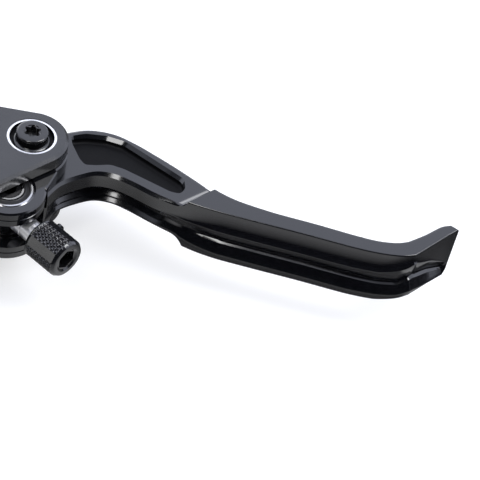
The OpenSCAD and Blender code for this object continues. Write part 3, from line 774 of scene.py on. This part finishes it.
def loftLever(*materials):
    bm = bmesh.new()
    rings = []
    last = len(leverStations) - 1
    for i in range(last):
        count = leverValues["stepsBetween"]
        fractions = [n / count for n in range(count)]
        if i == stepStation:
            fractions = [0, 0.12, 0.24, 0.36, 0.48, 0.59, 0.69, 0.78, 0.86, 0.92, 0.96]
        rings += [leverRing(i, t) for t in fractions]
    rings.append(leverRing(last, 0))
    loops = []
    for ring in rings:
        places = [(*[c * mm for c in toPart(x, y)], z * mm) for x, y, z in ring]
        loops.append(closedLoop(bm, places))
    bridgeLoops(bm, loops)
    return toObject("leverPiece", bm, *materials)


def pocketTool(side, *materials):
    # upright wall, then a round fillet down to the floor
    v = leverValues
    bm = bmesh.new()
    rim = [pocketRim.get(n, corner) for n, corner in enumerate(pocketCorners)]
    half, slope = v["armHalf"], v["pocketChamfer"]
    loops = []
    for corners, z in ((pocketCorners, half - v["pocketDepth"] + v["pocketFillet"]),
                       (pocketCorners, half - slope), (rim, half), (rim, half + 1)):
        outline = roundedOutline(corners, v["pocketCorner"])
        places = [(*[c * mm for c in toPart(x, y)], z * mm) for x, y in outline]
        loops.append(closedLoop(bm, places))
    bridgeLoops(bm, loops)
    cleanBmesh(bm)
    floor = min(bm.faces, key=lambda f: f.calc_center_median().z)
    count = 6
    r = v["pocketFillet"]
    for n in range(count):
        a, b = (math.radians(90 * k / count) for k in (n, n + 1))
        bmesh.ops.inset_region(bm, faces=[floor], thickness=r * (math.cos(a) - math.cos(b)) * mm,
                               depth=r * (math.sin(b) - math.sin(a)) * mm, use_even_offset=True,
                               use_boundary=True)
    # the floor and its fillet take the darker finish, painted shade in the pocket
    for face in bm.faces:
        if face.calc_center_median().z < (half - v["pocketDepth"] + r) * mm - 1e-7:
            face.material_index = 1
    if side < 0:
        bmesh.ops.scale(bm, verts=bm.verts, vec=(1, 1, -1))
    return toObject("tool", bm, *materials)


def makeLever():
    v = leverValues
    skin = finishes["black_anodised_lever"]
    ob = loftLever(skin)
    a = math.radians(v["bladeAngle"])
    bx = (ex - px) * math.cos(a) + (ey - py) * math.sin(a)
    by = -(ex - px) * math.sin(a) + (ey - py) * math.cos(a)
    h = v["half"]
    web = [(-9.6, -5), (bx - 11.2, by + 4), (bx + 11.2, by + 3.4), (10.4, -6.4), (6, 3), (-6, 3)]
    join(ob, prism([toPart(*p) for p in web][::-1], -h, h, skin, edge=0.4))
    r = v["earRadius"]
    rim = [(0, -h), (r - 0.5, -h), (r, -h + 0.5), (r, -7.2), (r - 0.25, -7), (r, -6.8),
           (r, 6.8), (r - 0.25, 7), (r, 7.2), (r, h - 0.5), (r - 0.5, h), (0, h)]
    join(ob, turned("tool", rim, (ex, ey, 0), skin))
    join(ob, rod(v["hubRadius"], -h, h, (px, py, 0), "z", 0.5, 96, skin))
    cut(ob, rod(v["pivotHole"], -20, 20, (px, py, 0), "z", 0, 64, skin))
    cut(ob, rod(v["forkSlot"], -v["forkHalf"], v["forkHalf"], (ex, ey, 0), "z", 0, 96, skin))
    for turn in (0, 8, 16, 24):  # room between the ears for the rod over the whole swing
        t = math.radians(turn)
        corners = [(-16, -20), (16, -20), (16, 4.6), (-16, 4.6)]
        points = [(ex + x * math.cos(t) - y * math.sin(t), ey + x * math.sin(t) + y * math.cos(t))
                  for x, y in corners]
        cut(ob, prism(points, -v["forkHalf"], v["forkHalf"], skin))
    for side in (1, -1):
        faceRadius, faceAt = v["hubFace"]
        near, far = sorted((side * faceAt, side * 12))
        cut(ob, rod(faceRadius, near, far, (px, py, 0), "z", 0, 96, skin))
        r, inside = v["bearingSeat"] / 2, v["forkHalf"] - 1
        seat = [(0, inside), (r, inside), (r, h - 0.5), (r + 0.7, h + 0.2),
                (r + 0.7, 14), (0, 14)]
        if side < 0:
            seat = [(p, -q) for p, q in seat]
        cut(ob, turned("tool", seat, (ex, ey, 0), skin))
        cut(ob, pocketTool(side, skin, milledFloorPaintedShade))
    shade(ob, 19)
    return finishPiece(ob, "lever_arm", "black_anodised_lever", "lever")


makeLever()
print("clutch lever: lever made")


# perch: ear plates, cylinder and half of the bar clamp from one block

perchValues = {
    "earIn": 10.1,
    "upperPlate": 5.5,
    "lowerPlate": 4.5,
    "plateRadius": 11.4,
    "plateEdge": 0.85,
    "clampRadius": 17.1,
    "clampHalfWidth": 12,
    "barRadius": 11.1,
    "splitHalf": 0.7,
    "boltReach": 15.7,
    "cylinderAt": 24.65,
    "cylinderRadius": 11.5,
    "cylinderEnd": -34,
    "boreRadius": 7.5,
    "recessRadius": 7,
    "faceRadius": 7.75,  # bare ring turned round the recess
    "recessDepth": 1.6,
    "portPitch": 1.0,
}


def hexagon(radius, turn=0):
    angles = [math.radians(60 * n + turn) for n in range(6)]
    return [(radius * math.cos(a), radius * math.sin(a)) for a in angles]


def plateOutline():
    rest = [(-16, 2), (-30, -6), (-30, -29.4), (0, -29.4), (4, -28.6), (7, -26), (8.4, -22.4)]
    return (arcPoints(px, py, perchValues["plateRadius"], -10.1, 120.6, 44)
            + [(px + x, py + y) for x, y in rest])


def threadProfile(radius, low, high, pitch, depth):
    # zigzag of a thread seen in section
    out = []
    h = low
    while h + pitch <= high:
        out += [(radius, h), (radius - depth, h + pitch / 2)]
        h += pitch
    return out + [(radius, h)]


def makePerch():
    v = perchValues
    skin = finishes["black_anodised"]
    top = v["earIn"] + v["upperPlate"]
    low = -v["earIn"] - v["lowerPlate"]
    cy = v["cylinderAt"]
    b = v["boltReach"]
    w = v["clampHalfWidth"]
    ob = prism(plateOutline(), v["earIn"], top, skin, edge=v["plateEdge"], name="perchPiece")
    join(ob, prism(plateOutline(), low, -v["earIn"], skin, edge=v["plateEdge"]),
         block((px - 30, py - 29.4, -v["earIn"]), (px - 15, py - 4.5, v["earIn"]), skin),
         rod(v["cylinderRadius"], v["cylinderEnd"], px - 15.5, (0, cy, 0), "x", 0.7, 96, skin),
         rod(v["clampRadius"], -w, w, (0, 0, 0), "x", 0.8, 128, skin),
         block((-w, 0.1, -b - 6), (w, v["splitHalf"] + 12, b + 6), skin, edge=0.7),
         rod(7.3, 0, v["clampRadius"] + 0.9, (0, cy, 0), "z", 0.5, 64, skin))
    recess = [(0, top - v["recessDepth"]), (v["recessRadius"], top - v["recessDepth"]),
              (v["recessRadius"], top - 0.2), (v["faceRadius"], top - 0.2),
              (v["faceRadius"], top + 3), (0, top + 3)]
    threads = [(0, -35)] + threadProfile(4.9, -35, -22, v["portPitch"], 0.4) + [(0, -21.4)]
    cut(ob, block((-40, -40, -40), (60, v["splitHalf"], 40), skin),
        rod(v["barRadius"], -40, 60, (0, 0, 0), "x", 0, 128, skin),
        rod(3.05, -30, 30, (px, py, 0), "z", 0, 48, skin),
        # the recess's walls and floor take the painted-shade finish, its turned ring the bare one
        turned("tool", recess, (px, py, 0), milledFloorPaintedShade, bareAluminium,
               bright=(top - 0.21, top - 0.19, v["recessRadius"], v["faceRadius"])),
        prism(hexagon(5.82), low - 1, low + 3.2, skin, at=(px, py, 0)),
        rod(v["boreRadius"] + 1.6, px - 18.7, 60, (0, cy, 0), "x", 0, 96, skin),
        rod(v["boreRadius"], v["cylinderEnd"] + 14, 60, (0, cy, 0), "x", 0, 96, skin),
        turned("tool", threads, (0, cy, 0), skin, axis="x", steps=64),
        rod(1.5, v["cylinderEnd"] - 1, v["cylinderEnd"] + 19, (0, cy, 0), "x", 0, 32, skin),
        rod(5, v["clampRadius"] - 8.7, 22, (0, cy, 0), "z", 0, 64, skin),
        rod(1, 0, 12, (0, cy, 0), "z", 0, 24, skin))
    for side in (-1, 1):
        cut(ob, rod(2.55, -1, 10, (0, 0, side * b), "y", 0, 32, skin))
    shade(ob, 24)
    return finishPiece(ob, "perch", "black_anodised", "housing")


def makeClampCap():
    v = perchValues
    skin = finishes["black_anodised"]
    b = v["boltReach"]
    w = v["clampHalfWidth"]
    ob = block((-w, -9, -b - 6), (w, -0.1, b + 6), skin, edge=0.7)
    ob.name = "clampCapPiece"
    join(ob, rod(v["clampRadius"], -w, w, (0, 0, 0), "x", 0.8, 128, skin))
    cut(ob, block((-40, -v["splitHalf"], -40), (60, 60, 40), skin),
        rod(v["barRadius"], -40, 60, (0, 0, 0), "x", 0, 128, skin))
    for side in (-1, 1):
        seat = [(0, -26), (6.1, -26), (5.5, -8.6), (5.5, -6), (0, -6)]
        cut(ob, rod(3.15, -25, 5, (0, 0, side * b), "y", 0, 48, skin),
            turned("tool", seat, (0, 0, side * b), skin, axis="y"))
    shade(ob, 24)
    return finishPiece(ob, "perch", "black_anodised", "clamp_cap")


def makeClampBolts():
    steel = finishes["stainless"]
    for side, name in ((1, "clampBoltUpper"), (-1, "clampBoltLower")):
        profile = [(0, -6), (4.4, -6), (4.8, -5.8), (5, -5.3), (5, -0.2), (4.8, 0), (3, 0),
                   (3, 6.2)]
        profile += threadProfile(2.5, 6.6, 15, 0.8, 0.3) + [(0, 15.35)]
        at = (0, -6, side * perchValues["boltReach"])
        ob = turned(name, profile, at, steel, axis="y", steps=64)
        cut(ob, prism(hexagon(2.887), -7, -3, steel, at=at, axis="y"))
        shade(ob, 24)
        finishPiece(ob, "perch", "stainless", "clamp_bolts")


makePerch()
makeClampCap()
makeClampBolts()
print("clutch lever: perch and clamp made")


# pivot screw with a six-lobe socket, and its nut

screwValues = {
    "headRadius": 5.0,
    "headHeight": 3.9,
    "rounding": 0.7,
    "flangeRadius": 5.7,
    "lobes": (2.3, 0.42),  # mean radius and swell of the socket
    "socketDepth": 2.3,
    "socketTurn": 8,  # degrees
}


def makePivotScrew():
    v = screwValues
    black = finishes["black_steel"]
    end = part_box("pivot_screw")[0].z / mm
    seat = perchValues["earIn"] + perchValues["upperPlate"] - perchValues["recessDepth"]
    r, e, h = v["headRadius"], v["rounding"], v["headHeight"]
    arc = arcPoints(r - e, h - e, e, 0, 90, 6)
    flange = v["flangeRadius"]
    profile = [(0, end - seat), (2.6, end - seat), (2.95, end - seat + 0.4), (2.95, 0),
               (flange, 0), (flange, 0.35), (flange - 0.3, 0.6), (r + 0.15, 0.65), (r, 0.8)]
    profile += arc + [(0, h)]
    ob = turned("pivotScrewPiece", profile, (px, py, seat), black)
    mean, swell = v["lobes"]
    star = []
    for t in range(0, 360, 5):
        reach = mean + swell * math.cos(math.radians(6 * t))
        a = math.radians(t + v["socketTurn"])
        star.append((reach * math.cos(a), reach * math.sin(a)))
    cone = [(0, h - 0.22), (2.5, h - 0.22), (2.9, h + 0.2), (0, h + 0.2)]
    cut(ob, prism(star, h - v["socketDepth"], h + 2, black, at=(px, py, seat)),
        turned("tool", cone, (px, py, seat), black, steps=48))
    shade(ob, 30)
    return finishPiece(ob, "perch", "black_steel", "pivot_screw")


def makePivotNut():
    steel = finishes["stainless"]
    low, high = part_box("pivot_nut")
    ob = prism(hexagon(5.77), low.z / mm, high.z / mm, steel, at=(px, py, 0), name="pivotNutPiece")
    z = low.z / mm
    crown = [(5.2, z - 1), (8, z - 1), (8, z + 1.4), (5.9, z + 0.55), (5.2, z - 0.05)]
    cut(ob, turned("tool", crown, (px, py, 0), steel, ring=True, steps=64))
    end = high.z / mm + 1
    bore = [(0, z - 1)] + threadProfile(3.05, z - 1, end, 1.0, 0.12) + [(0, end)]
    cut(ob, turned("tool", bore, (px, py, 0), steel, steps=48))
    shade(ob, 24)
    return finishPiece(ob, "perch", "stainless", "pivot_nut")


makePivotScrew()
makePivotNut()
print("clutch lever: pivot hardware made")


# sealed bearings pressed in the fork ears

bearingValues = {
    "outer": 7.97,
    "rim": 7.15,  # where the seal meets the outer ring
    "innerRim": 4.95,
    "bore": 4.0,
    "low": 5.0,
    "high": 9.5,
    "chamfer": 0.3,
}


def makeBearing(side, word):
    v = bearingValues
    c = v["chamfer"]
    steel = finishes["bearing_steel"]
    seal = finishes["black_rubber"]
    outer = [(v["outer"] - c, v["low"]), (v["outer"], v["low"] + c), (v["outer"], v["high"] - c),
             (v["outer"] - c, v["high"]), (v["rim"], v["high"]), (v["rim"], v["high"] - 0.25),
             (6.6, v["high"] - 0.25), (6.6, v["low"])]
    floorAt, faceAt = v["low"], v["high"]
    lip = v["rim"] - 0.03
    rubberRing = [(6.55, floorAt + 0.3), (6.55, faceAt - 0.3), (lip, faceAt - 0.24),
                  (lip, faceAt - 0.05), (6.7, faceAt - 0.02), (6.4, faceAt - 0.2),
                  (5.7, faceAt - 0.22), (5.5, faceAt - 0.06), (5.2, faceAt - 0.06),
                  (5.1, faceAt - 0.4), (5.1, floorAt + 0.3)]
    innerRim = v["innerRim"] - 0.05
    inner = [(innerRim, floorAt), (innerRim, faceAt), (v["bore"] + c, faceAt),
             (v["bore"], faceAt - c), (v["bore"], floorAt)]
    for name, node, profile, mat, body, slot in (
            ("bearingOuter", "bearing_outer_", outer, steel, "lever_arm", "bearing_steel"),
            ("bearingSeal", "bearing_seal_", rubberRing, seal, "lever_arm", "black_rubber"),
            ("bearingInner", "bearing_inner_", inner, steel, "trunnion", "bearing_steel")):
        ring = [(r, side * h) for r, h in profile]
        ob = turned(name + word, ring, (ex, ey, 0), mat, ring=True)
        shade(ob, 24)
        finishPiece(ob, body, slot, node + word.lower())


makeBearing(1, "Upper")
makeBearing(-1, "Lower")
print("clutch lever: bearings made")


# adjuster: pushrod, knurled knob, set screw

knobValues = {
    "radius": 6.5,
    "length": 12.8,
    "bands": 4,
    "bandTurn": 60,  # degrees
    "flatHalf": 15.9,  # half the angle of a smooth flat
    "knurlAcross": 1.3,
    "knurlAlong": 1.7,
    "knurlDepth": 0.42,
    "around": 288,
    "rows": 56,
    "socket": 6.0,
    "socketDepth": 5.4,
    "screwRadius": 1.25,
    "screwReach": 7.2,
    "screwAt": 2.9,
    "screwTurn": 22,  # degrees above level
}


def knurlHeight(angle, along):
    # 0 on a ridge, 1 in a valley of the crossed knurl
    v = knobValues
    u = math.radians(angle) * v["radius"] / v["knurlAcross"]
    w = along / v["knurlAlong"]
    first = abs((u + w) % 1 - 0.5) * 2
    second = abs((u - w) % 1 - 0.5) * 2
    return 1 - min(1, 1.5 * (1 - max(first, second)))


def makeKnob():
    v = knobValues
    skin = finishes["knob_black"]
    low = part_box("knob")[0]
    at = (low.x / mm, barrelAt.y / mm, 0)
    r, n = v["radius"], v["length"]
    body = [(r - 0.05, 1.1 + (n - 2.3) * k / v["rows"]) for k in range(v["rows"] + 1)]
    profile = [(2.53, 0), (r - 0.8, 0), (r - 0.3, 0.35), (r, 0.8)] + body
    profile += [(r - 0.12, n - 1.0), (r - 0.75, n - 0.1), (r - 0.95, n), (4.2, n),
                (3.5, n - 0.5), (2.53, n - 0.5)]
    bm = bmesh.new()
    verts = [bm.verts.new((p * mm, 0, q * mm)) for p, q in profile]
    edges = [bm.edges.new(pair) for pair in zip(verts, verts[1:] + verts[:1])]
    bmesh.ops.spin(bm, geom=verts + edges, cent=(0, 0, 0), axis=(0, 0, 1), dvec=(0, 0, 0),
                   angle=math.tau, steps=v["around"], use_merge=True)
    cleanBmesh(bm)
    pitch = 360 / v["bands"]
    for vert in bm.verts:
        x, y, h = (c / mm for c in vert.co)
        radius = math.hypot(x, y)
        if radius < r - 0.4 or h < 1.0 or h > n - 0.95:
            continue
        angle = (math.degrees(math.atan2(y, x)) - v["bandTurn"]) % pitch
        fromFlat = min(angle, pitch - angle)
        if fromFlat < v["flatHalf"]:
            new = min(radius, (r - 0.3) / math.cos(math.radians(fromFlat)))
        else:
            end = min(1, (h - 1.0) / 0.5, (n - 0.95 - h) / 0.5)
            new = radius - v["knurlDepth"] * knurlHeight(angle, h) * max(0, end)
        vert.co.x *= new / radius
        vert.co.y *= new / radius
    lay(bm, at, "x")
    ob = toObject("knobPiece", bm, skin)
    socket = hexagon(v["socket"] / 2 / math.cos(math.radians(30)))
    cut(ob, prism(socket, n - v["socketDepth"], n + 1, skin, at=at, axis="x"))
    shade(ob, 34)
    return finishPiece(ob, "adjuster", "knob_black", "knob")


def makeSetScrew():
    # stands out of the knob's side, near its inner end
    v = knobValues
    black = finishes["black_steel"]
    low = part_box("knob")[0]
    r = v["screwRadius"]
    end = v["screwReach"]
    profile = [(0, 4), (r, 4), (r, end - 0.3), (r - 0.3, end), (0, end)]
    ob = turned("setScrewPiece", profile, (0, 0, 0), black, steps=48)
    cut(ob, prism(hexagon(0.87), end - 1.2, end + 1, black))
    place = Vector((low.x + v["screwAt"] * mm, barrelAt.y, 0))
    turn = Matrix.Rotation(math.radians(v["screwTurn"] - 90), 4, "X")
    ob.data.transform(Matrix.Translation(place) @ turn)
    shade(ob, 30)
    return finishPiece(ob, "adjuster", "black_steel", "knob_grub_screw")


def makePushrod():
    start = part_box("pushrod")[0].x / mm
    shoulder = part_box("knob")[0].x / mm - start
    angles = [math.radians(t) for t in range(0, 121, 12)]
    ball = [(2.5 * math.sin(a), 2.5 - 2.5 * math.cos(a)) for a in angles]
    profile = ball + [(2.2, 4.4), (2.2, 5), (3.2, 5), (3.5, 5.3), (3.5, shoulder - 5.4),
                      (3.3, shoulder - 5.2), (3.3, shoulder - 4.8), (3.5, shoulder - 4.6),
                      (3.5, shoulder - 0.2), (3.3, shoulder), (2.5, shoulder),
                      (2.5, shoulder + 5.7), (2.2, shoulder + 6), (0, shoulder + 6)]
    ob = turned("pushrodPiece", profile, (start, barrelAt.y / mm, 0), bareAluminium, axis="x")
    shade(ob, 24)
    return finishPiece(ob, "adjuster", "stainless", "pushrod")


# return spring

springValues = {
    "wire": 1.1,
    "turns": 7,
    "coil": 6.05,  # radius to the wire's middle
    "closed": 0.12,  # share of the length in the closed turn at each end
    "perTurn": 28,
    "around": 10,
    "stroke": 7.37,  # of the piston at full pull
}


def makeSpring():
    v = springValues
    low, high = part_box("return_spring")
    middleY = (low.y + high.y) / 2
    first = low.x / mm + v["wire"] / 2
    length = (high.x - low.x) / mm - v["wire"]
    bm = bmesh.new()
    loops = []
    for n in range(v["turns"] * v["perTurn"] + 1):
        u = n / v["perTurn"]
        share = v["closed"] * min(u, 1) + v["closed"] * max(0, u - v["turns"] + 1)
        share += (1 - 2 * v["closed"]) * min(max(0, u - 1), v["turns"] - 2) / (v["turns"] - 2)
        a = math.tau * u
        ring = []
        for k in range(v["around"]):
            b = math.tau * k / v["around"]
            r = v["coil"] + v["wire"] / 2 * math.cos(b)
            x = first + length * share + v["wire"] / 2 * math.sin(b)
            ring.append((x * mm, middleY + r * math.cos(a) * mm, r * math.sin(a) * mm))
        loops.append(closedLoop(bm, ring))
    bridgeLoops(bm, loops)
    ob = toObject("returnSpringPiece", bm, finishes["spring_steel"])
    ob.data.shade_smooth()
    finishPiece(ob, "perch", slotOf["return_spring"], "return_spring")
    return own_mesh(ob)


makeSpring()
makeKnob()
makeSetScrew()
makePushrod()
print("clutch lever: adjuster made")
